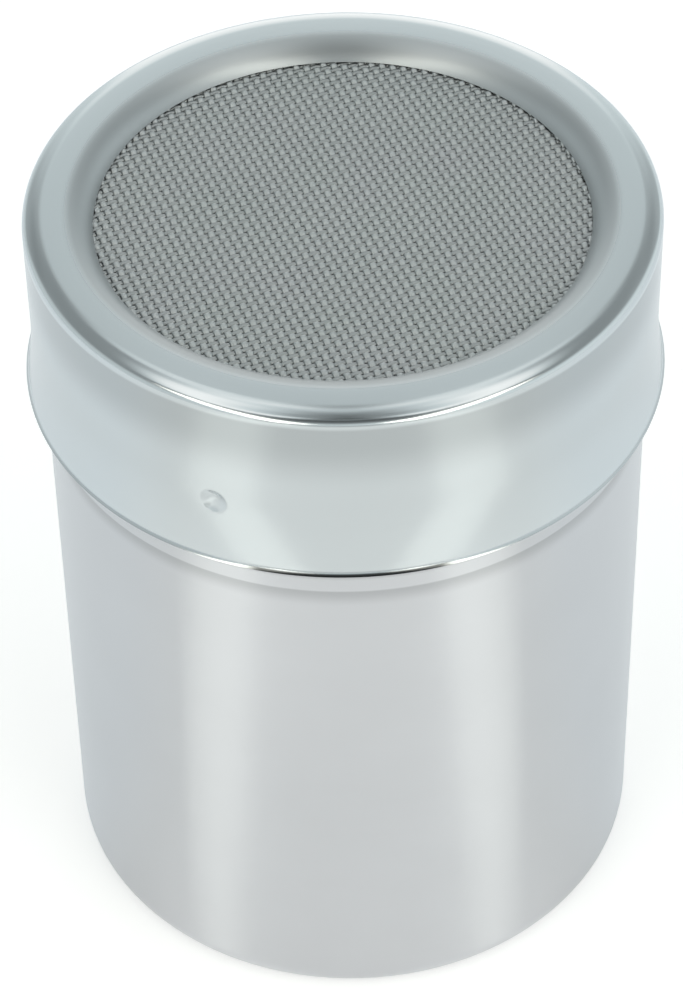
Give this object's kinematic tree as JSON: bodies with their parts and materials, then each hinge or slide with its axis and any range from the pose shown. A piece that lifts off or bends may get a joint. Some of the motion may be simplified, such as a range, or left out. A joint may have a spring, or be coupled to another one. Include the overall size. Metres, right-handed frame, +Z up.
{
  "type": "fine-mesh spice shaker",
  "caption": "Straight-walled stainless steel shaker cup with a push-on lid whose rolled ring holds a fine woven wire screen for dusting spice, sugar or flour.",
  "frame": {"origin": "centre of the cup's flat underside", "axes": "+Z up through the centre of the screen; +X to the right and -Y towards the viewer in the picture"},
  "size_m": [0.072, 0.072, 0.0941],
  "materials": {
    "satin_steel": "satin",
    "steel_wire": "satin"
  },
  "bodies": {
    "cup": {"cup": "satin_steel"},
    "lid": {"lid_shell": "satin_steel", "clamp_ring": "satin_steel", "mesh_screen": "steel_wire"}
  },
  "joints": [
    {"name": "lid_lift", "type": "slide", "parent": "cup", "child": "lid", "axis": [0, 0, 1], "range_m": [0, 0.04]}
  ]
}
